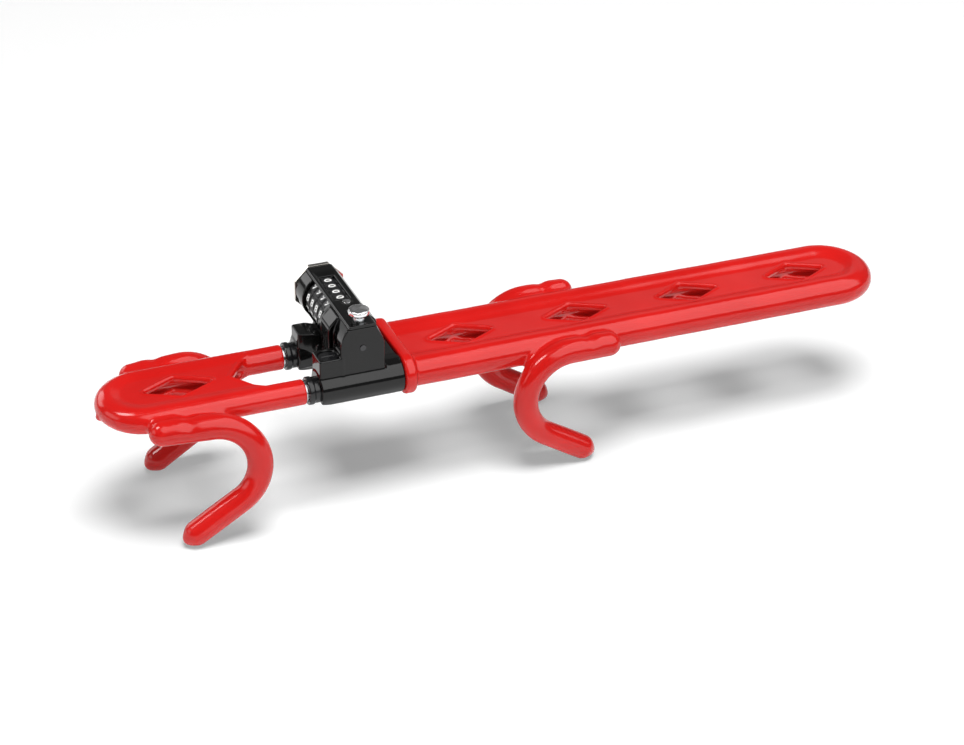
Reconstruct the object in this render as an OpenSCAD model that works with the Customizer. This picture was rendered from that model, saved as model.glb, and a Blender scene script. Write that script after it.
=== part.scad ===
// Twin-bar combination steering wheel lock, shown pushed fully together.
// Row frame: origin at the middle of the footprint, on the surface the four hook tips stand on.
// +X runs from the sliding bar to the handle, +Z is up.
// Inside the modules X is measured from the mouth of the lock's sleeves, Z from the plane of the two bars.

/* [Bars and handle] */
// Distance of each bar axis from the middle plane
half_gap = 22; // [20:0.5:26]
// Bare radius of the sliding bar
bar_r = 6.35; // [5:0.05:8]
// Outer radius of the sliding bar with its vinyl coat
bar_coat_r = 7.6; // [6:0.1:9]
// Outer radius of the handle tube, bare
tube_r = 8.25; // [7:0.05:10]
// Bore radius of the handle tube
tube_in_r = 6.7; // [6:0.05:8]
// Outer radius of the handle tube with its vinyl coat
tube_coat_r = 9.3; // [8:0.1:11]
// Centre of the sliding bar's closed end
bar_bend_x = -90.5; // [-120:0.5:-60]
// Free end of the sliding bar's two legs
bar_end_x = 330; // [280:1:345]
// Centre of the handle's closed end
tube_bend_x = 355.4; // [300:0.5:400]
// Travel of the sliding bar
travel = 200; // [150:1:220]

/* [Webs] */
// Height of the coated web face above the bar plane
web_top = 6.4; // [5:0.1:8]
// Vinyl thickness on the web plates
web_skin = 1; // [0.5:0.1:2]
// Web plate thickness
plate_t = 2; // [1:0.1:3]
// Centre of the first diamond window in the handle
win_x0 = 105.5; // [95:0.5:120]
// Pitch of the diamond windows
win_pitch = 76.4; // [60:0.1:90]
// Length of a coated diamond window
win_l = 43; // [30:0.5:55]
// Width of a coated diamond window
win_w = 22.4; // [16:0.2:28]

/* [Hooks] */
// Height of the bar plane above the ground
axis_h = 75.2; // [60:0.1:90]
// Centreline radius of the sliding bar's hooks
hook_l_r = 26.3; // [20:0.1:35]
// Centreline radius of the handle's hooks
hook_r_r = 29.4; // [20:0.1:35]

/* [Lock] */
// Height of the dial axis above the bar plane
dial_z = 25.6; // [22:0.1:30]
// Distance of the dial axis along the bars
dial_x = 33.6; // [30:0.1:38]
// Dial radius
dial_r = 13.4; // [12:0.1:15]
// Middle of the first dial
dial_y0 = 12.3; // [8:0.1:16]
// Pitch of the dials
dial_pitch = 7.6; // [6:0.1:9]
// Radius of the lower barrels of the housing
barrel_r = 10.6; // [9:0.1:13]
// Button stroke
press = 3; // [1:0.1:4]

/* [Hidden] */
$fn = 48;
bore_r = bar_r + 0.07;                 // running bore for the sliding bar
mid_x = 133.3;                         // middle of the whole part along X
btn_x = 33.6;                          // button axis
btn_y = -21.5;
plug_x = 14;                           // click ball's bore
plug_y = -21.3;
cover_z0 = dial_z + 13;                // underside and top of the cover
cover_z1 = dial_z + 15;
groove_pitch = 12.5;
red = [0.83, 0.07, 0.06];
blk = [0.03, 0.03, 0.035];
steel = [0.6, 0.61, 0.63];
bright = [0.82, 0.83, 0.85];

module place() { translate([-mid_x, 0, axis_h]) children(); }

// A profile drawn in X and Z, run from y0 to y1.
module run_y(y0, y1) {
  translate([0, y1, 0]) rotate([90, 0, 0]) linear_extrude(height = y1 - y0) children();
}

// A round bar along X, centred on (y, z).
module bar_x(x0, x1, y, z, r) {
  translate([x0, y, z]) rotate([0, 90, 0]) cylinder(h = x1 - x0, r = r);
}

// A round bar along Y, centred on (x, z).
module bar_y(y0, y1, x, z, r) {
  translate([x, y1, z]) rotate([90, 0, 0]) cylinder(h = y1 - y0, r = r);
}

module post(x, y, z0, z1, r) { translate([x, y, z0]) cylinder(h = z1 - z0, r = r); }

// Two straight legs joined by a half turn; side = -1 closes at the left, 1 at the right.
module u_sweep(bend_x, leg_x, r, side) {
  for (s = [-1, 1])
    bar_x(min(bend_x, leg_x), max(bend_x, leg_x), s * half_gap, 0, r);
  translate([bend_x, 0, 0]) rotate([0, 0, side > 0 ? -90 : 90])
    rotate_extrude(angle = 180) translate([half_gap, 0]) circle(r = r);
}

// A hook in one plane: a stub beside the bar, a turn of more than a right angle, then a straight arm.
// (x_turn, y, z) is where the turn starts, sx the way the stub runs, s the side of the lock.
module hook_shape(sx, s, r, y, z, x_turn, stub, turn_r, lean, arm, toe, tilt, back, front, ball) {
  translate([x_turn, s * y, z]) scale_x(sx)
    rotate([0, 0, s * toe]) rotate([-(90 - s * tilt), 0, 0]) {
      translate([-stub - back, 0, 0]) rotate([0, 90, 0]) cylinder(h = stub + back, r = r);
      if (ball) translate([-stub - back, 0, 0]) rotate([0, 90, 0]) sphere(r = r);
      translate([0, turn_r, 0]) rotate([0, 0, -90]) rotate_extrude(angle = 180 - lean)
        translate([turn_r, 0]) circle(r = r);
      translate([turn_r * sin(lean), turn_r * (1 + cos(lean)), 0])
        rotate([0, 0, 180 - lean]) {
          rotate([0, 90, 0]) sphere(r = r * 1.015);
          rotate([0, 90, 0]) cylinder(h = arm + front, r = r);
          if (ball) translate([arm + front, 0, 0]) rotate([0, 90, 0]) sphere(r = r);
        }
    }
}

module scale_x(sx) { if (sx > 0) children(); else mirror([1, 0, 0]) children(); }

// Hook of the sliding bar (mouth to the left) and of the handle (mouth to the right).
module bar_hook(s, r, back, front, ball) {
  hook_shape(1, s, r, 37.7, -2, -61.5, 28.8, hook_l_r, 32.4, 32.7, 6, 6.5, back, front, ball);
}
module handle_hook(s, r, back, front, ball) {
  hook_shape(-1, s, r, 36.6, 2, 163.3, 24.4, hook_r_r, 32, 28.8, 0, 0, back, front, ball);
}

// Diamond outline, grown by g on every side.
module diamond(g) {
  k = g * sqrt(win_l * win_l + win_w * win_w);
  a = win_l / 2 + k / win_w;
  b = win_w / 2 + k / win_l;
  polygon([[-a, 0], [0, -b], [a, 0], [0, b]]);
}

module handle_windows(g) {
  for (k = [0:3]) translate([win_x0 + win_pitch * k, 0]) diamond(g);
}

// Flat outline of the web between the handle tubes, half width w.
module handle_web_outline(x0, w, g) {
  difference() {
    union() {
      translate([x0, -w]) square([tube_bend_x - x0, 2 * w]);
      translate([tube_bend_x, 0]) circle(r = w);
    }
    handle_windows(g);
  }
}

// Flat outline of the sliding bar's web; its right edge is notched in a V.
module bar_web_outline(w, g) {
  difference() {
    union() {
      translate([bar_bend_x, -w]) square([-25.5 - bar_bend_x - g, 2 * w]);
      translate([bar_bend_x, 0]) circle(r = w);
    }
    translate([-71, 0]) diamond(g);
    polygon([[-38 - g, 0], [-25.5 - g, -17.8], [0, -half_gap * 2], [0, half_gap * 2], [-25.5 - g, 17.8]]);
  }
}

module slab(z0, z1) { translate([0, 0, z0]) linear_extrude(height = z1 - z0) children(); }

// Both coated web faces, one above and one below the bar plane.
module both_slabs(zi, zo) { slab(zi, zo) children(); slab(-zo, -zi) children(); }

plate_z = web_top - web_skin - plate_t;
slab_z = plate_z - web_skin;
bar_plate_w = half_gap - sqrt(bar_r * bar_r - plate_z * plate_z) - 0.05;
tube_plate_w = half_gap - sqrt(tube_r * tube_r - plate_z * plate_z) - 0.05;

module tube_steel() {
  difference() {
    u_sweep(tube_bend_x, 44, tube_r, 1);
    u_sweep(tube_bend_x, 43, tube_in_r, 1);
  }
}
module handle_plate() { linear_extrude(height = plate_t) handle_web_outline(66.8, tube_plate_w, web_skin); }
module bar_plate() { linear_extrude(height = plate_t) bar_web_outline(bar_plate_w, web_skin); }

// ---- root: lock housing and handle ----

module housing_blocks() {
  // twin barrels round the bars and the body between them
  for (s = [-1, 1]) bar_x(6.9, 58.4, s * half_gap, 0, barrel_r);
  translate([17.5, -half_gap, -barrel_r]) cube([58.4 - 17.5, 2 * half_gap, 2 * barrel_r]);
  // near foot, tall side wall and shoulder below the button
  run_y(-28.3, -13.2) polygon([[6.9, 0], [21.8, 0], [21.8, 20.9], [6.9, 20.9]]);
  run_y(-28.3, -25.9) polygon([[19.9, 0], [47.1, 0], [47.2, 28.2], [42.1, cover_z0 - 0.01],
    [24.2, cover_z0 - 0.01], [22.6, 36.4], [20.9, 32.6], [19.9, 28.5]]);
  run_y(-25.9, -10) polygon([[21.6, 0], [47.1, 0], [47.2, 28.2], [42.1, cover_z0 - 0.01],
    [25.8, cover_z0 - 0.01], [24.2, 35.4], [22.4, 31.6], [21.6, 28]]);
  // eight-sided block in front of the dials
  run_y(-10, 4) polygon([[18.6, 0], [47.2, 0], [48.6, 19.4], [48.6, 31.8], [42.1, cover_z0 - 0.01],
    [24.9, cover_z0 - 0.01], [18.6, 31.8]]);
  // far foot
  translate([0, 0, 0]) linear_extrude(height = 18.4)
    polygon([[6.9, 13.4], [18, 9.7], [30, 9.7], [30, 26.7], [6.9, 26.7]]);
  // cradle under the dials, collar on each side of them, and the far drum
  run_y(3.9, 33) polygon([[22, 0], [47.2, 0], [47.2, 20], [22, 14]]);
  run_y(32.9, 40.6) polygon([[26.5, 8.8], [40.7, 8.8], [43.4, 14], [23.8, 14]]);
  bar_y(3.9, 52.4, dial_x, dial_z, 15.2);
  run_y(3.9, 52.4) polygon([[24.9, 30], [42.1, 30], [42.1, cover_z0 - 0.01], [25.2, cover_z0 - 0.01]]);
}

module housing_bores() {
  for (s = [-1, 1]) {
    bar_x(6, 59, s * half_gap, 0, bore_r);
    bar_x(44, 59, s * half_gap, 0, tube_r);
    bar_x(6, 12, s * half_gap, 0, 7.5);
    // bevel under the left end of each barrel
    run_y(s * half_gap - 12, s * half_gap + 12) polygon([[6, -6.4], [17.8, -10.9], [6, -12]]);
  }
  // click ball's bore and the plug's seat above it
  post(plug_x, plug_y, 5, 16, 3.1);
  post(plug_x, plug_y, 16, 29, 6);
  // bolt guide with the spring's counterbore above it
  post(btn_x, btn_y, 5, 31, 3.56);
  post(btn_x, btn_y, 31, 40, 5.6);
  bar_y(-29, -18, dial_x, dial_z, 1.5);
  // dial chamber, open to the left and upwards through the window
  bar_y(8.2, 39.4, dial_x, dial_z, 13.9);
  run_y(8.2, 39.4) polygon([[10, 16.4], [24, 15.5], [dial_x, dial_z], [28.9, 45], [10, 45]]);
  run_y(8.2, 39.4) polygon([[28, 30], [39.2, 30], [39.2, 41], [28, 41]]);
  translate([27.6, 9, 10.4]) cube([12, 29.6, 4]);
  // spindle, its spring and bush
  bar_y(-19, -15, dial_x, dial_z, 1.5);
  bar_y(-15.6, 52, dial_x, dial_z, 3.06);
  bar_y(42.4, 53, dial_x, dial_z, 6);
  // flat seat for the cover
  translate([0, -40, cover_z0 - 0.01]) cube([80, 120, 10]);
  // reset pin
  post(34.4, 2.7, 31, 40, 2.56);
  post(34.4, 2.7, 27, 32, 1.3);
  // rivet holes from above
  for (p = rivet_at) post(p[0], p[1], 33.6, 40, 1.25);
}
rivet_at = [[38.6, -13.2], [29, 47.6], [38.4, 47.6], [28.4, -2.8]];

module lock_housing() {
  color(blk) place() difference() {
    housing_blocks();
    housing_bores();
  }
}

module top_cover() {
  color(blk) place() difference() {
    run_y(-28.3, 52.4) polygon([[25.2, cover_z0], [25.2, cover_z1 - 0.9], [26.1, cover_z1],
      [41.4, cover_z1], [42.1, cover_z1 - 0.7], [42.1, cover_z0]]);
    // bevelled surround and the window itself
    polyhedron(points = [[29, 7.9, cover_z1 - 1.1], [38.6, 7.9, cover_z1 - 1.1], [38.6, 39.6, cover_z1 - 1.1],
      [29, 39.6, cover_z1 - 1.1], [27.1, 6, cover_z1 + 0.1], [40.9, 6, cover_z1 + 0.1],
      [40.9, 44.6, cover_z1 + 0.1], [27.1, 44.6, cover_z1 + 0.1]],
      faces = [[0, 1, 2, 3], [7, 6, 5, 4], [0, 4, 5, 1], [1, 5, 6, 2], [2, 6, 7, 3], [3, 7, 4, 0]]);
    translate([29, 7.9, cover_z0 - 1]) cube([9.6, 31.7, 4]);
    post(btn_x, btn_y, cover_z0 - 1, cover_z1 + 1, 3.56);
    post(34.4, 2.7, cover_z0 - 1, cover_z1 + 1, 2.56);
    // shallow dish round the reset pin
    translate([34.4, 2.7, cover_z1 - 0.5]) cylinder(h = 1, r = 3.4);
    for (p = rivet_at) post(p[0], p[1], cover_z0 - 1, cover_z1 - 1, 1.25);
  }
}

// Eight-sided polished plate closing the far end of the drum.
module end_cap() {
  color(bright) place() difference() {
    union() {
      translate([dial_x, 55, dial_z]) rotate([90, 0, 0]) rotate([0, 0, 22.5])
        cylinder(h = 2.6, r = 15.5 / cos(22.5), $fn = 8);
      translate([dial_x, 55.8, dial_z]) rotate([90, 0, 0]) cylinder(h = 0.9, r = 13.6);
    }
    bar_y(52, 54.9, dial_x, dial_z, 6.4);
  }
}

module rod_bush(s) {
  color(blk) place() difference() {
    union() {
      bar_x(0, 6.9, s * half_gap, 0, 8);
      bar_x(4.5, 6.9, s * half_gap, 0, 8.6);
      bar_x(6.8, 12, s * half_gap, 0, 7.5);
      bar_x(0, 1.2, s * half_gap, 0, 8.3);
    }
    bar_x(-1, 13, s * half_gap, 0, bore_r);
  }
}
module rod_bush_near() { rod_bush(-1); }
module rod_bush_far() { rod_bush(1); }

module bore_plug() {
  color(blk) place() difference() {
    post(plug_x, plug_y, 16, 20.1, 6);
    post(plug_x, plug_y, 15, 17.4, 2.9);
    translate([plug_x - 4, plug_y - 0.6, 19.5]) cube([8, 1.2, 1]);
  }
}

// Ball that drops into the bar's grooves, one after another, as the bar is drawn out.
module click_ball() { color(bright) place() translate([plug_x, plug_y, 9.36]) sphere(r = 3); }

// Helical coil along Z, middle radius r, wire radius w, height h.
module coil(r, w, h, turns) {
  st = 14;
  n = st * turns;
  ring = 6;
  pts = [for (i = [0:n]) for (j = [0:ring - 1])
    let (a = 360 * i / st, q = 360 * j / ring, d = r + w * cos(q))
      [d * cos(a), d * sin(a), w + (h - 2 * w) * i / n + w * sin(q)]];
  side = [for (i = [0:n - 1]) for (j = [0:ring - 1]) for (t = [0, 1])
    let (a = i * ring + j, b = i * ring + (j + 1) % ring, c = a + ring, d = b + ring)
      t == 0 ? [a, c, b] : [b, c, d]];
  caps = [[for (j = [0:ring - 1]) j], [for (j = [0:ring - 1]) n * ring + ring - 1 - j]];
  polyhedron(points = pts, faces = concat(side, caps));
}

module click_spring() {
  color(steel) place() translate([plug_x, plug_y, 12.4]) coil(2.1, 0.35, 4.95, 4);
}

// Cross pin that keeps the bolt from turning or lifting out.
module stem_pin() {
  color(steel) place() {
    bar_y(-28.3, -21, dial_x, dial_z, 1.5);
    bar_y(-28.8, -28.3, dial_x, dial_z, 2);
  }
}

module cover_rivets() {
  color(steel) place() for (p = rivet_at) post(p[0], p[1], 33.6, cover_z1 - 1, 1.25);
}

module spindle_nut() {
  color(steel) place() difference() {
    translate([dial_x, 54.7, dial_z]) rotate([90, 0, 0]) cylinder(h = 1.8, r = 4.6, $fn = 6);
    bar_y(52, 56, dial_x, dial_z, 2.5);
  }
}

module spindle_bush() {
  color(steel) place() difference() {
    bar_y(49.4, 51.1, dial_x, dial_z, 6);
    bar_y(49, 52, dial_x, dial_z, 2.56);
  }
}

// Leaf spring with one finger and one nub for each dial.
module dial_leaf_spring() {
  color(steel) place() {
    translate([28.2, 9.2, 10.4]) cube([4, 29.2, 0.5]);
    for (k = [0:3]) {
      translate([28.2, dial_y0 + dial_pitch * k - 2, 10.4]) cube([8, 4, 0.5]);
      bar_y(dial_y0 + dial_pitch * k - 2, dial_y0 + dial_pitch * k + 2, dial_x, 11.3, 0.8);
    }
  }
}

module handle_tube() { color(steel) place() tube_steel(); }
module handle_web_top() { color(steel) place() translate([0, 0, plate_z]) handle_plate(); }
module handle_web_bottom() { color(steel) place() translate([0, 0, -plate_z - plate_t]) handle_plate(); }
module handle_hook_near() { color(steel) place() handle_hook(-1, bar_r, -2.4, 2.4, false); }
module handle_hook_far() { color(steel) place() handle_hook(1, bar_r, -2.4, 2.4, false); }

module handle_skin_outer() {
  difference() {
    u_sweep(tube_bend_x, 65.8, tube_coat_r, 1);
    u_sweep(tube_bend_x, 43, tube_r, 1);
  }
}
module handle_coat() {
  color(red) place() difference() {
    union() {
      handle_skin_outer();
      difference() {
        both_slabs(slab_z, web_top) handle_web_outline(65.8, half_gap - 1, 0);
        u_sweep(tube_bend_x, 43, tube_r, 1);
      }
    }
    both_slabs(plate_z, plate_z + plate_t) handle_web_outline(66.8, tube_plate_w, web_skin);
    for (s = [-1, 1]) handle_hook(s, bar_r, -2.4, 2.4, false);
  }
}
module handle_hook_coat(s) {
  color(red) place() difference() {
    handle_hook(s, bar_coat_r, 0, 0, true);
    handle_hook(s, bar_r, -2.4, 2.4, false);
    bar_x(100, 250, s * half_gap, 0, tube_coat_r);
  }
}
module handle_hook_coat_near() { handle_hook_coat(-1); }
module handle_hook_coat_far() { handle_hook_coat(1); }

// Moulded collar where the handle's coat meets the lock.
module ring_profile(r) {
  polygon([[58.4, 0], [58.4, r - 0.7], [59.1, r], [62.6, r], [64.4, r - 0.7], [65.8, r - 2.6], [65.8, 0]]);
}
module mouth_ring() {
  color(red) place() difference() {
    union() {
      for (s = [-1, 1]) translate([0, s * half_gap, 0]) rotate([0, 90, 0])
        rotate_extrude() rotate([0, 0, 90]) mirror([0, 1]) ring_profile(12.6);
      run_y(-half_gap, half_gap) union() {
        ring_profile(12.6);
        mirror([0, 1]) ring_profile(12.6);
      }
    }
    for (s = [-1, 1]) bar_x(58, 67, s * half_gap, 0, tube_r);
  }
}

// ---- sliding bar ----

module u_bar() {
  color(steel) place() difference() {
    u_sweep(bar_bend_x, bar_end_x, bar_r, -1);
    // locking grooves on the near leg
    for (k = [0:16]) translate([btn_x + groove_pitch * k, -half_gap, 0]) rotate([0, 90, 0])
      rotate_extrude() polygon([[4.75, -2.6], [bar_r + 1, -4.6], [bar_r + 1, 2.7], [4.75, 2.7]]);
  }
}
module bar_web_top() { color(steel) place() translate([0, 0, plate_z]) bar_plate(); }
module bar_web_bottom() { color(steel) place() translate([0, 0, -plate_z - plate_t]) bar_plate(); }
module bar_hook_near() { color(steel) place() bar_hook(-1, bar_r, -2.4, 2.4, false); }
module bar_hook_far() { color(steel) place() bar_hook(1, bar_r, -2.4, 2.4, false); }

module bar_coat() {
  color(red) place() difference() {
    union() {
      u_sweep(bar_bend_x, -1.2, bar_coat_r, -1);
      both_slabs(slab_z, web_top) bar_web_outline(half_gap - 1, 0);
    }
    u_sweep(bar_bend_x, 2, bar_r, -1);
    both_slabs(plate_z, plate_z + plate_t) bar_web_outline(bar_plate_w, web_skin);
    for (s = [-1, 1]) bar_hook(s, bar_r, -2.4, 2.4, false);
  }
}
module bar_hook_coat(s) {
  color(red) place() difference() {
    bar_hook(s, bar_coat_r, 0, 0, true);
    bar_hook(s, bar_r, -2.4, 2.4, false);
    bar_x(-115, -1.2, s * half_gap, 0, bar_coat_r);
  }
}
module bar_hook_coat_near() { bar_hook_coat(-1); }
module bar_hook_coat_far() { bar_hook_coat(1); }

// Ring on each leg that meets the shoulder at the tube's mouth at full draw.
module stop_ring(s) {
  color(blk) place() difference() {
    bar_x(244.4, 252.4, s * half_gap, 0, 6.63);
    bar_x(243, 254, s * half_gap, 0, bar_r);
  }
}
module stop_ring_near() { stop_ring(-1); }
module stop_ring_far() { stop_ring(1); }

// ---- dials ----

module dial(k) {
  color(blk) place() translate([dial_x, dial_y0 + dial_pitch * k + 3.65, dial_z]) rotate([90, 0, 0])
    difference() {
      union() {
        cylinder(h = 7.3, r = dial_r - 0.4);
        translate([0, 0, 0.5]) cylinder(h = 6.3, r = dial_r);
      }
      translate([0, 0, -1]) cylinder(h = 10, r = 9);
      for (i = [0:9]) rotate([0, 0, 36 * i]) translate([dial_r + 0.35, 0, -1]) cylinder(h = 10, r = 0.95, $fn = 24);
    }
}
module code_ring(k) {
  color([0.78, 0.62, 0.3]) place()
    translate([dial_x, dial_y0 + dial_pitch * k + 3.65, dial_z]) rotate([90, 0, 0])
    difference() {
      cylinder(h = 7.3, r = 9);
      translate([0, 0, -1]) cylinder(h = 10, r = 3.06);
      translate([0, 0, 3]) cylinder(h = 5, r = 5.2);
      translate([-1, 0, -1]) cube([2, 5.2, 10]);
    }
}
module dial_1() { dial(0); }
module dial_2() { dial(1); }
module dial_3() { dial(2); }
module dial_4() { dial(3); }
module code_ring_1() { code_ring(0); }
module code_ring_2() { code_ring(1); }
module code_ring_3() { code_ring(2); }
module code_ring_4() { code_ring(3); }

// ---- button and bolt ----

module button_cap() {
  color(bright) place() translate([btn_x, btn_y, 0]) difference() {
    rotate_extrude() polygon([[0, 43.8], [3.9, 43.8], [5.2, 44.2], [6.1, 44.9], [6.4, 45.8], [6.4, 47.5],
      [5.9, 48.1], [4.9, 48.4], [0, 48.6]]);
    translate([0, 0, 43]) cylinder(h = 3.2, r = 2.2);
  }
}

module lock_bolt() {
  color(steel) place() difference() {
    union() {
      post(btn_x, btn_y, 9.6, 43.8, 3.5);
      post(btn_x, btn_y, 43.7, 46.2, 2.2);
      post(btn_x, btn_y, 7.9, 9.7, 2.4);
    }
    // groove for the spring clip
    difference() {
      post(btn_x, btn_y, 36.6, 37.4, 6);
      post(btn_x, btn_y, 36, 38, 2.9);
    }
    // slot for the cross pin
    translate([btn_x - 1.55, btn_y - 5, dial_z - 1.6]) cube([3.1, 5.7, 3.2 + press + 0.1]);
    // ramp that lets the spindle's nose in as the bolt goes down
    translate([btn_x - 4, 0, 0]) rotate([90, 0, 90]) linear_extrude(height = 8)
      polygon([[btn_y + 4, dial_z - 1.7], [btn_y + 3.4, dial_z - 1.7], [btn_y + 1.8, dial_z + 1.5],
        [btn_y + 1.8, dial_z + 4.9], [btn_y + 4, dial_z + 4.9]]);
  }
}

module bolt_clip() {
  color(steel) place() difference() {
    post(btn_x, btn_y, 36.6, 37.4, 5.2);
    post(btn_x, btn_y, 36, 38, 2.9);
  }
}

module button_spring() {
  color(steel) place() translate([btn_x, btn_y, 31.05]) coil(4.55, 0.4, 5.5, 4);
}

// ---- spindle ----

module spindle() {
  color(steel) place() {
    bar_y(-17.9, -13.9, dial_x, dial_z, 1.4);
    bar_y(-14, 49.35, dial_x, dial_z, 3);
    bar_y(44.2, 45, dial_x, dial_z, 5.2);
    bar_y(49.3, 54.7, dial_x, dial_z, 2.5);
    for (k = [0:3]) translate([dial_x - 0.8, dial_y0 + dial_pitch * k - 1.1, dial_z + 2.5]) cube([1.6, 1.5, 2.3]);
  }
}

module spindle_spring() {
  color(steel) place() translate([dial_x, 45.05, dial_z]) rotate([-90, 0, 0]) coil(4.4, 0.4, 4.3, 4);
}

// ---- reset pin ----

module reset_pin() {
  color(bright) place() {
    post(34.4, 2.7, 37, cover_z1 + 0.4, 2.5);
    post(34.4, 2.7, 30.5, 37.1, 1.2);
  }
}
module reset_spring() {
  color(steel) place() translate([34.4, 2.7, 31.05]) coil(1.65, 0.25, 5.9, 6);
}

lock_housing();
top_cover();
end_cap();
rod_bush_near();
rod_bush_far();
bore_plug();
click_ball();
click_spring();
stem_pin();
cover_rivets();
spindle_nut();
spindle_bush();
dial_leaf_spring();
handle_tube();
handle_web_top();
handle_web_bottom();
handle_hook_near();
handle_hook_far();
handle_coat();
handle_hook_coat_near();
handle_hook_coat_far();
mouth_ring();
u_bar();
bar_web_top();
bar_web_bottom();
bar_hook_near();
bar_hook_far();
bar_coat();
bar_hook_coat_near();
bar_hook_coat_far();
stop_ring_near();
stop_ring_far();
dial_1();
dial_2();
dial_3();
dial_4();
code_ring_1();
code_ring_2();
code_ring_3();
code_ring_4();
button_cap();
lock_bolt();
bolt_clip();
button_spring();
spindle();
spindle_spring();
reset_pin();
reset_spring();
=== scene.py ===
"""Twin-bar combination steering wheel lock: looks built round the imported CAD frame."""

from math import cos, sin, radians, pi, hypot

import bpy
import numpy as np
from mathutils import Matrix, Vector


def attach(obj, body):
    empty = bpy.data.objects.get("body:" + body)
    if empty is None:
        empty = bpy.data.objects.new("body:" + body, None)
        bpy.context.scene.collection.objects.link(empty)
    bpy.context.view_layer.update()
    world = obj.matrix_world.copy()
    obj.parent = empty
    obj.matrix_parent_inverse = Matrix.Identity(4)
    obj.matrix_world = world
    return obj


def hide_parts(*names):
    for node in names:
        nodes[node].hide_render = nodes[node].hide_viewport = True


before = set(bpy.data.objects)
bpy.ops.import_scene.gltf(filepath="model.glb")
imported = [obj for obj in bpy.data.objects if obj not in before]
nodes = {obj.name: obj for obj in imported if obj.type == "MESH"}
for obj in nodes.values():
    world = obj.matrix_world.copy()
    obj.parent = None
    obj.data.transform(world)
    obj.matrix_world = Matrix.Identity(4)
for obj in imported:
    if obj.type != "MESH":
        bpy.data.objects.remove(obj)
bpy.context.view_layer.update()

# The CAD modules measure X from the sleeve mouths and Z from the plane of the bars, in millimetres.
SHIFT = np.array([-133.3, 0.0, 75.2])
MM = 0.001

HALF = 22.0                             # bar axes, each side of the middle
BAR_R, TUBE_R = 7.6, 9.3                # coated radii
BAR_BEND, TUBE_BEND = -90.5, 355.4      # centres of the two half turns
WEB_TOP, SLAB_IN = 6.4, 2.4             # coated web faces, above and below the bar plane
WIN_A, WIN_B, WIN_R = 21.5, 11.2, 1.3   # window's half diagonals and corner radius
BAR_WIN_X = -71.0
HANDLE_WIN_X, WIN_PITCH, WINDOWS = 105.5, 76.4, 4
NOTCH_X, NOTCH_SLOPE = -38.0, 0.702     # V notch in the sliding bar's web
# stub from the weld, bend of radius turn, then an arm leaning back by lean; toe and tilt turn the whole hook
BAR_HOOK = dict(at=(-61.5, 37.7, -2), stub=28.8, turn=26.3, lean=32.4, arm=32.7, toe=6, tilt=6.5)
HANDLE_HOOK = dict(at=(163.3, 36.6, 2), stub=24.4, turn=29.4, lean=32, arm=28.8, toe=0, tilt=0)

DIAL_X, DIAL_Z, DIAL_R = 33.6, 25.6, 13.4
DIAL_Y, DIAL_PITCH, DIALS = 12.3, 7.6, 4
BODY_X0, BODY_X1 = 6.9, 58.4            # ends of the lock body's barrels
NEAR_Y, FAR_Y = -28.3, 52.4             # near wall and far end of the lock body
BARREL_R, BORE_R, SOCKET_R = 10.6, 6.45, 8.25
DRUM_R, CHAMBER_R = 15.2, 13.9          # round the dials, outside and inside
CHAMBER_Y = (8.2, 39.4)
BODY_TOP = 38.59                        # seat of the cover
BUTTON, PLUG, RESET = (33.6, -21.5), (14, -21.3), (34.4, 2.7)


# ---- distance fields, millimetres ----

def smin(a, b, k):
    """Union of two fields, blended over k."""
    h = np.maximum(k - np.abs(a - b), 0) / k
    return np.minimum(a, b) - h * h * k * 0.25


def smax(a, b, k):
    """Intersection of two fields, blended over k."""
    return -smin(-a, -b, k)


def loop(x, y, bend, side):
    """Distance in plan from a U-shaped centreline, negative inside the U."""
    t = side * (x - bend)
    return np.where(t > 0, np.hypot(t, y), np.abs(y)) - HALF


def rhombus(x, y, a, b, r):
    """Diamond with half diagonals a and b and corners of radius r."""
    k = hypot(a, b)
    a, b = a - r * k / b, b - r * k / a
    x, y = np.abs(x), np.abs(y)
    h = np.clip(((a - 2 * x) * a - (b - 2 * y) * b) / (a * a + b * b), -1, 1)
    d = np.hypot(x - 0.5 * a * (1 - h), y - 0.5 * b * (1 + h))
    return d * np.sign(x * b + y * a - a * b) - r


def slabs(z, flat, lip):
    """Both coated web plates; flat is the plan distance, lip raises the faces round the openings."""
    a = np.abs(z)
    return smax(smax(a - WEB_TOP - lip, SLAB_IN - a, 0.8), flat, 2.0)


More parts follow.
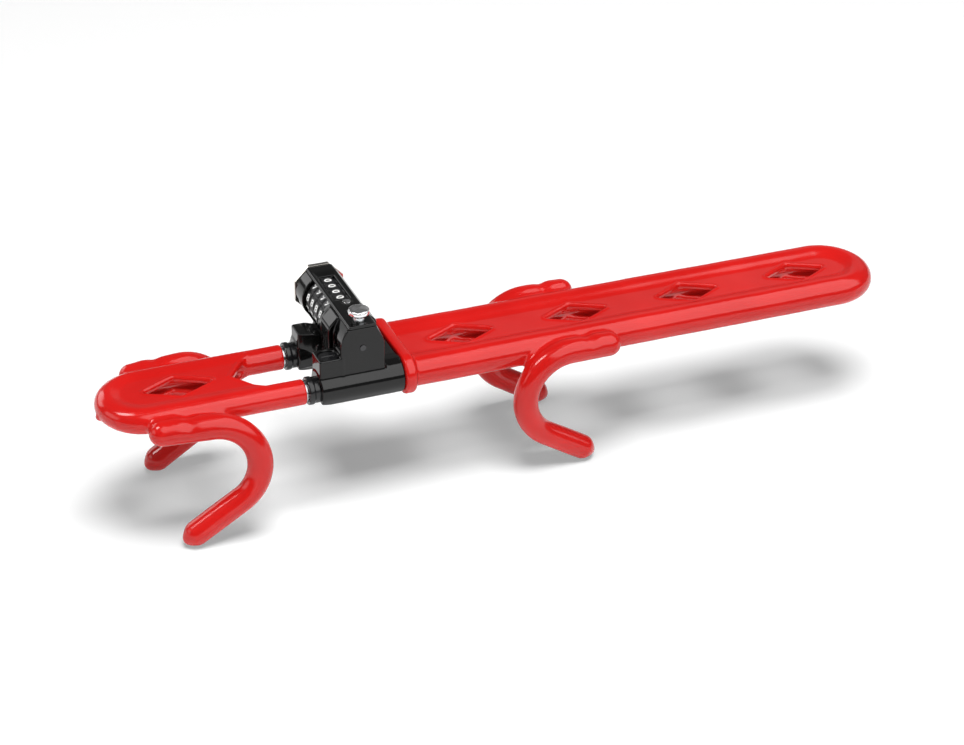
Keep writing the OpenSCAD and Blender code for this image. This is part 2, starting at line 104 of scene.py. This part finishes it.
def hook(x, y, z, sx, s, at, stub, turn, lean, arm, toe, tilt, r):
    """Round bar in one plane: stub, bend past a right angle, straight arm with a drip at its tip."""
    # u runs along the stub, v down, q across the hook's plane
    c, n = radians(toe), radians(tilt)
    ex = np.array([sx * cos(c), s * sin(c), 0])
    e2 = np.array([-sx * sin(c), s * cos(c), 0]) * sin(n) + np.array([0, 0, -cos(n)])
    w = np.cross(ex, e2)
    px, py, pz = x - at[0], y - s * at[1], z - at[2]
    u, v, q = (px * e[0] + py * e[1] + pz * e[2] for e in (ex, e2, w))
    end = pi - radians(lean)
    # wrinkle across the top of the stub over the weld
    dent = 0.85 * np.exp(-((u + stub * 0.45) / 3.6) ** 2 - ((v + r) / 6.5) ** 2)
    dent -= 0.35 * np.exp(-((u + stub * 0.72) / 4.5) ** 2 - ((v + r) / 6.5) ** 2)
    d = np.hypot(u - np.clip(u, -stub, 0), np.hypot(v, q)) + dent
    t = np.arctan2(u, turn - v)
    d = np.minimum(d, np.where((t >= 0) & (t <= end), np.hypot(np.hypot(u, v - turn) - turn, q), 99))
    u0, v0 = turn * sin(end), turn * (1 - cos(end))
    a = np.clip((u - u0) * cos(end) + (v - v0) * sin(end), 0, arm)
    d = np.minimum(d, np.hypot(np.hypot(u - u0 - a * cos(end), v - v0 - a * sin(end)), q))
    tip = arm + r - 1.3
    drip = np.hypot(np.hypot(u - u0 - tip * cos(end), v - v0 - tip * sin(end)), q) - 2.1
    return smin(d - r, drip, 5.0)


def waves(x, y, z):
    """Slow swell of a dipped coat."""
    return 0.07 * np.sin(x / 7.3 + 1.1) * np.sin(y / 5.1 + x / 19) + 0.05 * np.sin(x / 15.7 - z / 6.1 + y / 11)


def bar_skin(x, y, z):
    """Dip coat of the sliding half: both legs, the web and two hooks."""
    plan = loop(x, y, BAR_BEND, -1)
    legs = smax(np.hypot(plan, z) - BAR_R, x + 1.3, 1.4)
    notch = (x - NOTCH_X - NOTCH_SLOPE * np.abs(y)) / hypot(1, NOTCH_SLOPE)
    win = rhombus(x - BAR_WIN_X, y, WIN_A, WIN_B, WIN_R)
    lip = 0.55 * np.exp(-((win - 1.3) / 1.1) ** 2) + 0.5 * np.exp(-((notch + 1.6) / 1.3) ** 2)
    flat = smax(smax(smax(plan, x + 25.5, 2), notch, 2), -win, 1.2)
    d = smin(legs, slabs(z, flat, lip), 3.4)
    for s in (-1, 1):
        d = smin(d, hook(x, y, z, 1, s, r=BAR_R, **BAR_HOOK), 4.6)
    # drip left where the coat ran off the bend
    nub = np.sqrt((x + 119.2) ** 2 + (y + 3) ** 2 + (z + 3) ** 2) - 1.5
    return smin(d, nub, 2.6) + waves(x, y, z)


def handle_skin(x, y, z):
    """Dip coat of the handle half, with its flange against the lock body."""
    plan = loop(x, y, TUBE_BEND, 1)
    d = np.hypot(plan, z) - TUBE_R
    flat = smax(plan, 64 - x, 2)
    lip = 0
    for k in range(WINDOWS):
        win = rhombus(x - HANDLE_WIN_X - WIN_PITCH * k, y, WIN_A, WIN_B, WIN_R)
        flat = smax(flat, -win, 1.2)
        lip = lip + 0.5 * np.exp(-((win - 1.3) / 1.1) ** 2)
    d = smin(d, slabs(z, flat, lip), 4.0)
    for s in (-1, 1):
        d = smin(d, hook(x, y, z, -1, s, r=BAR_R, **HANDLE_HOOK), 4.6)
    belt = np.hypot(np.maximum(np.abs(y) - HALF, 0), z) - 12.6
    flange = smax(belt, np.abs(x - 62.1) - 3.6, 2.4)
    d = smax(smin(d, flange, 2.6), 58.5 - x, 0.6)
    return d + waves(x, y, z) * np.clip((x - 60) / 8, 0, 1)


def edges(a, b, pts, k):
    """Convex outline in the plane (a, b) as a distance, its corners rounded."""
    mid, d = np.mean(pts, 0), None
    for (a0, b0), (a1, b1) in zip(pts, pts[1:] + pts[:1]):
        na, nb = b1 - b0, a0 - a1
        w = hypot(na, nb) * (1 if na * (mid[0] - a0) + nb * (mid[1] - b0) < 0 else -1)
        e = ((a - a0) * na + (b - b0) * nb) / w
        d = e if d is None else smax(d, e, k)
    return d


def run_y(x, y, z, y0, y1, pts, k=1.1):
    """Convex outline in X and Z carried from y0 to y1."""
    return smax(edges(x, z, pts, k), np.abs(y - (y0 + y1) / 2) - (y1 - y0) / 2, k)


def rod(a, b, t, r, t0, t1, k=0.8):
    """Cylinder of radius r, (a, b) across it and t along it."""
    return smax(np.hypot(a, b) - r, np.abs(t - (t0 + t1) / 2) - (t1 - t0) / 2, k)


def housing_skin(x, y, z):
    """Cast lock body: twin barrels, near wall and shoulder, block and drum round the dials."""
    top = BODY_TOP
    d = rod(x - DIAL_X, z - DIAL_Z, y, DRUM_R, 3.9, FAR_Y)
    for y0, y1, pts in (
            # foot under the plug, near wall and what it covers
            (NEAR_Y, -13.2, [(BODY_X0, -4), (21.8, -4), (21.8, 20.9), (BODY_X0, 20.9)]),
            (NEAR_Y, -25.9, [(19.9, 0), (47.1, 0), (47.2, 28.2), (42.1, top), (24.2, top), (22.6, 36.4),
                             (20.9, 32.6), (19.9, 28.5)]),
            (-26.9, -9, [(21.6, 0), (47.1, 0), (47.2, 28.2), (42.1, top), (25.8, top), (24.2, 35.4),
                         (22.4, 31.6), (21.6, 28)]),
            # eight-sided block in front of the dials
            (-10, 5, [(18.6, 0), (47.2, 0), (48.6, 19.4), (48.6, 31.8), (42.1, top), (24.9, top),
                      (18.6, 31.8)]),
            # cradle under the dials and roof over the drum
            (3.9, 33, [(22, 0), (47.2, 0), (47.2, 20), (22, 14)]),
            (32.9, 40.6, [(26.5, 4), (40.7, 4), (43.4, 14), (23.8, 14)]),
            (3.9, FAR_Y, [(24.9, 30), (42.1, 30), (42.1, top), (25.2, top)])):
        d = smin(d, run_y(x, y, z, y0, y1, pts), 0.9)
    foot = edges(x, y, [(BODY_X0, 13.4), (18, 9.7), (30, 9.7), (30, 26.7), (BODY_X0, 26.7)], 1.1)
    d = smin(d, smax(foot, np.abs(z - 7.2) - 11.2, 1.1), 0.9)
    body = run_y(x, y, z, -HALF, HALF, [(17.5, -BARREL_R), (BODY_X1, -BARREL_R), (BODY_X1, BARREL_R),
                                        (17.5, BARREL_R)])
    d = smin(d, body, 0.9)
    for s in (-1, 1):
        d = smin(d, rod(y - s * HALF, z, x, BARREL_R, BODY_X0, BODY_X1, 1.0), 2.2)
    d = smax(d, z - top, 0.8)
    # left ends of the barrels are bevelled underneath
    d = smax(d, (BODY_X0 - x) * 0.36 - (z + 6.75) * 0.933, 0.8)
    for s in (-1, 1):
        d = smax(d, -rod(y - s * HALF, z, x, BORE_R, 5, 60, 0.3), 0.5)
    d = smax(d, -rod(x - PLUG[0], y - PLUG[1], z, 6.0, 16, 30, 0.3), 0.6)
    # dial chamber, open to the left and upwards
    chamber = rod(x - DIAL_X, z - DIAL_Z, y, CHAMBER_R, *CHAMBER_Y, 0.4)
    for pts in ([(10, 20.5), (17, 17.6), (24, 15.5), (DIAL_X, DIAL_Z), (28.9, 45), (10, 45)],
                [(28, 30), (39.2, 30), (39.2, 45), (28, 45)]):
        chamber = smin(chamber, run_y(x, y, z, *CHAMBER_Y, pts, 0.4), 0.4)
    d = smax(d, -chamber, 0.7)
    # bores the moving parts run in: tube sockets, bolt guide, click ball, spindle and its nut
    for s in (-1, 1):
        d = smax(d, -rod(y - s * HALF, z, x, SOCKET_R, 44, 60, 0.1), 0.2)
    for r, z0, z1 in ((3.6, 5, 32), (5.65, 31, 41)):
        d = smax(d, -rod(x - BUTTON[0], y - BUTTON[1], z, r, z0, z1, 0.1), 0.2)
    d = smax(d, -rod(x - PLUG[0], y - PLUG[1], z, 3.1, 5, 17, 0.1), 0.2)
    for r, y0, y1 in ((3.3, -15.8, 54), (6.2, 42.4, 54), (1.5, -30, -15)):
        d = smax(d, -rod(x - DIAL_X, z - DIAL_Z, y, r, y0, y1, 0.1), 0.2)
    return d


def cover_skin(x, y, z):
    """Cover plate with a sloping frame round the dial window, and holes for the button and the reset pin."""
    d = run_y(x, y, z, NEAR_Y, FAR_Y, [(25.2, 38.6), (42.1, 38.6), (42.1, 39.9), (41.4, 40.6), (26.1, 40.6),
                                       (25.2, 39.7)], 0.6)
    # floor of the recess, then its four slopes: left, right, near and far
    z0 = z - 39.5
    slant = smax(smax(-(x - 29) * 0.53 - z0 * 0.85, (x - 38.6) * 0.46 - z0 * 0.88, 0.3),
                 smax(-(y - 7.9) * 0.53 - z0 * 0.85, (y - 39.6) * 0.22 - z0 * 0.97, 0.3), 0.3)
    d = smax(d, -smax(slant, -z0, 0.3), 0.4)
    hole = smax(np.abs(x - 33.8) - 4.8, np.abs(y - 23.75) - 15.85, 0.6)
    d = smax(d, -hole, 0.4)
    d = smax(d, -rod(x - RESET[0], y - RESET[1], z, 3.4, 40.1, 42, 0.3), 0.4)
    d = smax(d, -(np.hypot(x - RESET[0], y - RESET[1]) - 2.6), 0.4)
    return smax(d, -(np.hypot(x - BUTTON[0], y - BUTTON[1]) - 3.6), 0.5)


def bush_skin(s):
    """Field of a flanged guide sleeve where one leg of the bar enters the body."""
    def f(x, y, z):
        d = rod(y - s * HALF, z, x, 8.5, 0.05, 3.5, 0.9)
        d = smin(d, rod(y - s * HALF, z, x, 7.9, 0.4, 7.6, 0.5), 0.5)
        return smax(d, -(np.hypot(y - s * HALF, z) - BORE_R), 0.7)
    return f


# ---- meshing ----

def nets(f, lo, hi, h):
    """Quads through the zero surface of f, its vertices then moved onto the surface."""
    gx, gy, gz = (np.arange(a, b + h, h) for a, b in zip(lo, hi))
    D = f(gx[:, None, None], gy[None, :, None], gz[None, None, :]).astype(np.float32)
    S, shape = D < 0, np.array(D.shape)
    keys, points, quads = [], [], []
    # each grid edge that crosses the surface makes one quad, with a corner in each of the four cells round it
    for ax in range(3):
        sl0 = tuple(slice(None, -1) if i == ax else slice(None) for i in range(3))
        sl1 = tuple(slice(1, None) if i == ax else slice(None) for i in range(3))
        idx = np.argwhere(S[sl0] != S[sl1])
        o1, o2 = [i for i in range(3) if i != ax]
        inside = (idx[:, o1] > 0) & (idx[:, o2] > 0)
        idx = idx[inside & (idx[:, o1] < shape[o1] - 1) & (idx[:, o2] < shape[o2] - 1)]
        ahead = np.eye(3, dtype=int)[ax]
        a, b = D[tuple(idx.T)], D[tuple((idx + ahead).T)]
        p = idx.astype(float)
        p[:, ax] += a / (a - b)
        ring = []
        for m1, m2 in ((1, 1), (0, 1), (0, 0), (1, 0)):
            c = idx.copy()
            c[:, o1] -= m1
            c[:, o2] -= m2
            ring.append(np.ravel_multi_index(c.T, shape))
            keys.append(ring[-1])
            points.append(p)
        ring = np.array(ring).T
        flip = (a > 0) == (ax != 1)
        ring[flip] = ring[flip][:, ::-1]
        quads.append(ring)
    # a cell's vertex is the mean of the crossings on its edges
    keys, points = np.concatenate(keys), np.concatenate(points)
    used, inv = np.unique(keys, return_inverse=True)
    cnt = np.bincount(inv)
    v = np.stack([np.bincount(inv, points[:, i]) / cnt for i in range(3)], 1) * h + np.array(lo)
    q = np.searchsorted(used, np.concatenate(quads))
    for _ in range(3):
        g, d = slope(f, v)
        v -= np.clip(d / np.maximum((g * g).sum(1), 0.2), -h, h)[:, None] * g
    return v, q, slope(f, v)[0]


def slope(f, v, e=0.02):
    """Gradient and value of f at the points v, by central differences."""
    d = f(v[:, 0], v[:, 1], v[:, 2])
    g = np.stack([(f(*(v + e * a).T) - f(*(v - e * a).T)) / (2 * e) for a in np.eye(3)], 1)
    return g, d


def link(name, mesh, mat=None):
    """New object in the scene."""
    ob = bpy.data.objects.new(name, mesh)
    bpy.context.scene.collection.objects.link(ob)
    if mat:
        mesh.materials.append(mat)
    return ob


def grown(name, f, lo, hi, h, mat):
    """Object whose surface is the zero surface of f, shaded with the field's own normals."""
    v, q, n = nets(f, lo, hi, h)
    mesh = bpy.data.meshes.new(name)
    mesh.vertices.add(len(v))
    mesh.vertices.foreach_set("co", ((v + SHIFT) * MM).ravel())
    mesh.loops.add(q.size)
    mesh.loops.foreach_set("vertex_index", q.ravel().astype(np.int32))
    mesh.polygons.add(len(q))
    mesh.polygons.foreach_set("loop_start", np.arange(0, q.size, 4, dtype=np.int32))
    mesh.update(calc_edges=True)
    mesh.validate()
    mesh.polygons.foreach_set("use_smooth", np.ones(len(mesh.polygons), bool))
    n /= np.linalg.norm(n, axis=1, keepdims=True)
    mesh.normals_split_custom_set_from_vertices(n)
    return link(name, mesh, mat)


# ---- materials ----

def material(name, colour, rough, metal=0.0, coat=0.0, coat_rough=0.05, spec=0.5, vary=0.08, rough_vary=0.08,
             grain=(1, 1, 1), scale=300.0, bump=0.02, fine=1500.0, fine_bump=0.0, dark=None):
    """Principled surface with drifting colour and roughness, a slow swell and a fine grain.

    scale and fine are in features per metre, bump and fine_bump in millimetres.
    """
    m = bpy.data.materials.new(name)
    m.use_nodes = True
    t = m.node_tree
    N, L = t.nodes, t.links
    p = N["Principled BSDF"]
    p.inputs["Metallic"].default_value = metal
    p.inputs["Coat Weight"].default_value = coat
    p.inputs["Coat Roughness"].default_value = coat_rough
    p.inputs["Specular IOR Level"].default_value = spec
    co = N.new("ShaderNodeTexCoord")
    mp = N.new("ShaderNodeMapping")
    mp.inputs["Scale"].default_value = grain
    L.new(co.outputs["Object"], mp.inputs["Vector"])

    def noise(s, detail=3.0, vec=mp):
        n = N.new("ShaderNodeTexNoise")
        n.inputs["Scale"].default_value = s
        n.inputs["Detail"].default_value = detail
        L.new(vec.outputs[0], n.inputs["Vector"])
        return n

    slow, mid, tiny = noise(scale * 0.12), noise(scale), noise(fine, 2.0)
    ramp = N.new("ShaderNodeValToRGB")
    lo, hi = ramp.color_ramp.elements
    base = np.array(colour)
    lo.position, hi.position = 0.35, 0.68
    lo.color = tuple(base * (1 - vary) if dark is None else dark) + (1,)
    hi.color = tuple(np.clip(base * (1 + vary), 0, 1)) + (1,)
    L.new(slow.outputs["Fac"], ramp.inputs["Fac"])
    L.new(ramp.outputs["Color"], p.inputs["Base Color"])
    rr = N.new("ShaderNodeMapRange")
    rr.inputs["To Min"].default_value = max(rough - rough_vary, 0.02)
    rr.inputs["To Max"].default_value = rough + rough_vary
    L.new(mid.outputs["Fac"], rr.inputs["Value"])
    L.new(rr.outputs["Result"], p.inputs["Roughness"])
    b1 = N.new("ShaderNodeBump")
    b1.inputs["Strength"].default_value = 1.0
    b1.inputs["Distance"].default_value = bump * MM
    L.new(mid.outputs["Fac"], b1.inputs["Height"])
    last = b1
    if fine_bump:
        b2 = N.new("ShaderNodeBump")
        b2.inputs["Strength"].default_value = 1.0
        b2.inputs["Distance"].default_value = fine_bump * MM
        L.new(tiny.outputs["Fac"], b2.inputs["Height"])
        L.new(b1.outputs["Normal"], b2.inputs["Normal"])
        last = b2
    L.new(last.outputs["Normal"], p.inputs["Normal"])
    if coat:
        L.new(b1.outputs["Normal"], p.inputs["Coat Normal"])
    return m


def turned(name, colour, rough, centre, pitch=0.35):
    """Metal with fine lathe rings round a vertical axis."""
    m = material(name, colour, rough, metal=1.0, bump=0.004, scale=500)
    t = m.node_tree
    N, L = t.nodes, t.links
    co = next(n for n in N if n.type == "TEX_COORD")
    sub = N.new("ShaderNodeVectorMath")
    sub.operation = "SUBTRACT"
    sub.inputs[1].default_value = centre
    L.new(co.outputs["Object"], sub.inputs[0])
    flat = N.new("ShaderNodeVectorMath")
    flat.operation = "MULTIPLY"
    flat.inputs[1].default_value = (1, 1, 0)
    L.new(sub.outputs[0], flat.inputs[0])
    ln = N.new("ShaderNodeVectorMath")
    ln.operation = "LENGTH"
    L.new(flat.outputs[0], ln.inputs[0])
    ang = N.new("ShaderNodeMath")
    ang.operation = "MULTIPLY"
    ang.inputs[1].default_value = 2 * pi / (pitch * MM)
    L.new(ln.outputs["Value"], ang.inputs[0])
    wave = N.new("ShaderNodeMath")
    wave.operation = "SINE"
    L.new(ang.outputs[0], wave.inputs[0])
    b = N.new("ShaderNodeBump")
    b.inputs["Strength"].default_value = 0.6
    b.inputs["Distance"].default_value = 0.01 * MM
    L.new(wave.outputs[0], b.inputs["Height"])
    old = next(n for n in N if n.type == "BUMP")
    L.new(old.outputs["Normal"], b.inputs["Normal"])
    L.new(b.outputs["Normal"], N["Principled BSDF"].inputs["Normal"])
    return m


def glowing(m, strength):
    """The same material with a little white light of its own."""
    p = m.node_tree.nodes["Principled BSDF"]
    p.inputs["Emission Color"].default_value = (1, 1, 1, 1)
    p.inputs["Emission Strength"].default_value = strength
    return m


red = material("red_dip_vinyl", (0.71, 0.010, 0.008), 0.15, vary=0.05, spec=0.45,
               dark=(0.65, 0.007, 0.005), scale=170, bump=0.035, rough_vary=0.04)
black = material("black_gloss_casting", (0.004, 0.004, 0.004), 0.10, vary=0.3, rough_vary=0.04, spec=0.4,
                 scale=420, bump=0.014, fine=2600, fine_bump=0.002)
plastic = material("black_moulded_plastic", (0.008, 0.008, 0.009), 0.20, vary=0.2, scale=700, bump=0.012,
                   fine=4200, fine_bump=0.004)
dial_black = material("dial_black", (0.010, 0.010, 0.011), 0.36, vary=0.2, scale=900, bump=0.01)
# painted light: the white figures glow a little of their own, brightening them in the shaded dial chamber
glowing_ink = glowing(material("digit_white", (0.82, 0.82, 0.80), 0.42, vary=0.05, scale=1500, bump=0.01), 0.2)
steel = material("drawn_steel", (0.60, 0.60, 0.62), 0.26, metal=1.0, grain=(0.04, 1, 1), scale=1600,
                 bump=0.006, vary=0.1)
spring = material("spring_wire", (0.34, 0.34, 0.36), 0.30, metal=1.0, scale=900, bump=0.006)
zinc = material("zinc_plated", (0.66, 0.68, 0.70), 0.24, metal=1.0, scale=600, bump=0.008, vary=0.08)
octagon = material("polished_plate", (0.80, 0.77, 0.72), 0.17, metal=1.0, grain=(1, 1, 0.12), scale=900,
                   bump=0.006, rough_vary=0.06)
brass = material("brass", (0.72, 0.52, 0.22), 0.27, metal=1.0, scale=700, bump=0.006)
nylon = material("satin_black_nylon", (0.008, 0.008, 0.009), 0.22, vary=0.2, scale=700, bump=0.012)
dark_pin = material("blackened_steel", (0.07, 0.07, 0.072), 0.22, metal=1.0, scale=900, bump=0.006)
chrome = turned("turned_chrome", (0.84, 0.84, 0.85), 0.11,
                ((BUTTON[0] + SHIFT[0]) * MM, BUTTON[1] * MM, 0))


# ---- CAD pieces that stay ----

FINISH = {"black_zinc": black, "black_plastic": plastic, "dial_black": dial_black, "nylon": nylon,
          "red_vinyl": red, "steel": steel, "spring_steel": spring, "zinc_plated": zinc, "chrome": chrome,
          "brass": brass}
slot_of = {n: ob.data.materials[0].name.split(".")[0] for n, ob in nodes.items() if ob.data.materials}

SPECIAL = {"end_cap": octagon, "stem_pin": dark_pin}
# bevel widths in millimetres; every other node has FINE_BEVEL
BEVEL = {"end_cap": 0.35, "bore_plug": 0.3, "button_cap": 0.5, "reset_pin": 0.25, "stem_pin": 0.2}
FINE_BEVEL = 0.12


def dress(name):
    """Give a CAD node its material, and bevel its edges."""
    ob = nodes[name]
    mat = SPECIAL.get(name) or FINISH[slot_of.get(name, "steel")]
    if not ob.data.materials:
        ob.data.materials.append(mat)
    for place in ob.material_slots:
        place.material = mat
    w = ob.modifiers.new("Weld", "WELD")
    w.merge_threshold = 2e-6
    b = ob.modifiers.new("Edges", "BEVEL")
    b.width = BEVEL.get(name, FINE_BEVEL) * MM
    b.segments = 2
    b.limit_method = "ANGLE"
    b.angle_limit = radians(32)
    b.harden_normals = True
    b.use_clamp_overlap = False
    b.miter_outer = "MITER_ARC"


# ---- digits round the dials ----

def digit_mesh(ch):
    """Flat raised figure, centred on its own box."""
    c = bpy.data.curves.new("digit", "FONT")
    c.body, c.size, c.extrude, c.offset = ch, 6.2, 0.07, 0.12
    c.align_x = c.align_y = "CENTER"
    ob = link("digit_tmp", c)
    bpy.context.view_layer.update()
    me = bpy.data.meshes.new_from_object(ob.evaluated_get(bpy.context.evaluated_depsgraph_get()))
    bpy.data.objects.remove(ob)
    co = np.array([v.co for v in me.vertices])
    mid = (co.max(0) + co.min(0)) / 2
    faces = [tuple(p.vertices) for p in me.polygons]
    return (co - [mid[0], mid[1], 0]) * [1.2, 1, 1], faces


def dial_digits(k, sets):
    """Ten figures wrapped round dial k, with 0 in the cover's window."""
    verts, faces = [], []
    for i in range(10):
        co, fs = sets[(2 - i) % 10]
        a = radians(18 + 36 * i) - co[:, 1] / DIAL_R
        r = DIAL_R + 0.03 + co[:, 2]
        y = DIAL_Y + DIAL_PITCH * k - co[:, 0]
        base = sum(len(v) for v in verts)
        verts.append(np.stack([DIAL_X + r * np.cos(a), y, DIAL_Z + r * np.sin(a)], 1))
        faces += [tuple(base + j for j in f) for f in fs]
    mesh = bpy.data.meshes.new(f"dial_digits_{k + 1}")
    mesh.from_pydata(((np.concatenate(verts) + SHIFT) * MM).tolist(), [], faces)
    ob = link(mesh.name, mesh, glowing_ink)
    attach(ob, f"dial_set_{k + 1}")


# ---- build ----

# grid steps in millimetres
step = 1.0
fine = step * 0.5

# the red skins throw no red light on the white floor
skin_bar = grown("skin_bar", bar_skin, (-124, -66, -80), (2, 66, 11), step, red)
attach(skin_bar, "sliding_bar")
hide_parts("bar_coat", "bar_hook_coat_near", "bar_hook_coat_far")
skin_bar.visible_diffuse = False
skin_handle = grown("skin_handle", handle_skin, (56, -50, -80), (390, 50, 15), step, red)
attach(skin_handle, "lock_and_handle")
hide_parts("handle_coat", "handle_hook_coat_near", "handle_hook_coat_far", "mouth_ring")
skin_handle.visible_diffuse = False

skin_lock = grown("skin_lock_housing", housing_skin, (5, -34, -12), (60, 54, 41), fine, black)
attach(skin_lock, "lock_and_handle")
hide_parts("lock_housing")
for s, side in ((-1, "near"), (1, "far")):
    bush = grown(f"skin_rod_bush_{side}", bush_skin(s), (-1, s * HALF - 10, -10), (9, s * HALF + 10, 10),
                 fine * 0.9, nylon)
    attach(bush, "lock_and_handle")
    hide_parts(f"rod_bush_{side}")
skin_cover = grown("skin_top_cover", cover_skin, (23, -31, 37), (44, 55, 42), fine * 0.8, black)
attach(skin_cover, "lock_and_handle")
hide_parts("top_cover")

for name in nodes:
    dress(name)
# steel inside the coats lets diffuse light through to the windows' walls
for name in ("handle_tube", "handle_web_top", "handle_web_bottom", "handle_hook_near", "handle_hook_far",
             "u_bar", "bar_web_top", "bar_web_bottom", "bar_hook_near", "bar_hook_far"):
    nodes[name].visible_diffuse = False
sets = [digit_mesh(str(i)) for i in range(10)]
for k in range(DIALS):
    dial_digits(k, sets)


# ---- floor, light, camera ----

def floor():
    """Plain pale floor, seen to its horizon."""
    n, size = 60, 7.0
    g = np.linspace(-size, size, n)
    pts = [(x, y, 0.0) for y in g for x in g]
    corners = [j * n + i for j in range(n - 1) for i in range(n - 1)]
    fs = [(c, c + 1, c + n + 1, c + n) for c in corners]
    mesh = bpy.data.meshes.new("floor")
    mesh.from_pydata(pts, [], fs)
    white = material("studio_white", (0.93, 0.93, 0.93), 0.9, vary=0.004, scale=4, bump=0.01, spec=0.1)
    ob = link("floor", mesh, glowing(white, 0.15))


def softbox(name, at, to, w, h, radiance, diffuse=True, glossy=True):
    """Rectangular light at one point, turned to another; it can be left out of either kind of ray."""
    lamp = bpy.data.lights.new(name, "AREA")
    lamp.shape, lamp.size, lamp.size_y = "RECTANGLE", w, h
    lamp.energy = radiance * pi * w * h
    ob = bpy.data.objects.new(name, lamp)
    bpy.context.scene.collection.objects.link(ob)
    ob.location = at
    ob.rotation_euler = (Vector(to) - Vector(at)).to_track_quat("-Z", "Y").to_euler()
    ob.visible_diffuse, ob.visible_glossy = diffuse, glossy


floor()
softbox("key", (0.08, -0.5, 3.4), (0.08, 0, 0), 2.0, 1.8, 9.9, glossy=False)
softbox("fill_front", (0.75, -2.1, 0.95), (0, 0, 0.05), 2.6, 0.75, 1.0, glossy=False)
softbox("fill_left", (-1.3, -0.6, 1.2), (0, 0, 0.05), 0.8, 0.8, 1.2, glossy=False)
# panels seen only as reflections in the gloss
softbox("sky_panel", (0.95, -1.15, 1.95), (0.05, 0, 0.05), 3.6, 3.1, 2.2, diffuse=False)
softbox("strip_left", (-0.80, 0.12, 1.15), (-0.1, 0, 0.05), 0.34, 0.55, 12.0, diffuse=False)
softbox("panel_back", (2.2, 2.6, 1.6), (0.1, 0, 0.1), 2.6, 1.2, 0.2, diffuse=False)
softbox("panel_back_left", (-1.25, 2.1, 0.85), (0, 0, 0.1), 1.5, 0.9, 2.2, diffuse=False)
softbox("panel_side", (-2.6, 0.3, 0.9), (0, 0, 0.1), 1.6, 1.0, 1.6, diffuse=False)

world = bpy.data.worlds.new("studio")
world.use_nodes = True
sky = world.node_tree.nodes["Background"].inputs
sky["Color"].default_value = (1, 1, 1, 1)
sky["Strength"].default_value = 0.14
bpy.context.scene.world = world
bpy.context.scene.view_settings.view_transform = "Standard"


def camera(at, yaw, pitch, roll, lens):
    """Camera at a point in the row frame: yaw from +Y towards +X, pitch down, then roll."""
    yaw, pitch, roll = radians(yaw), radians(pitch), radians(roll)
    aim = Vector((sin(yaw) * cos(pitch), cos(yaw) * cos(pitch), -sin(pitch)))
    right = Vector((cos(yaw), -sin(yaw), 0))
    up = right.cross(aim)
    right, up = cos(roll) * right + sin(roll) * up, -sin(roll) * right + cos(roll) * up
    cam = bpy.data.cameras.new("camera")
    cam.lens, cam.sensor_width, cam.sensor_fit = lens, 36.0, "HORIZONTAL"
    ob = bpy.data.objects.new("camera", cam)
    bpy.context.scene.collection.objects.link(ob)
    ob.matrix_world = Matrix.Translation(at) @ Matrix((right, up, -aim)).transposed().to_4x4()
    bpy.context.scene.camera = ob


camera((-0.4787, -1.1430, 0.7615), yaw=22.156, pitch=29.920, roll=0.602, lens=86.45)
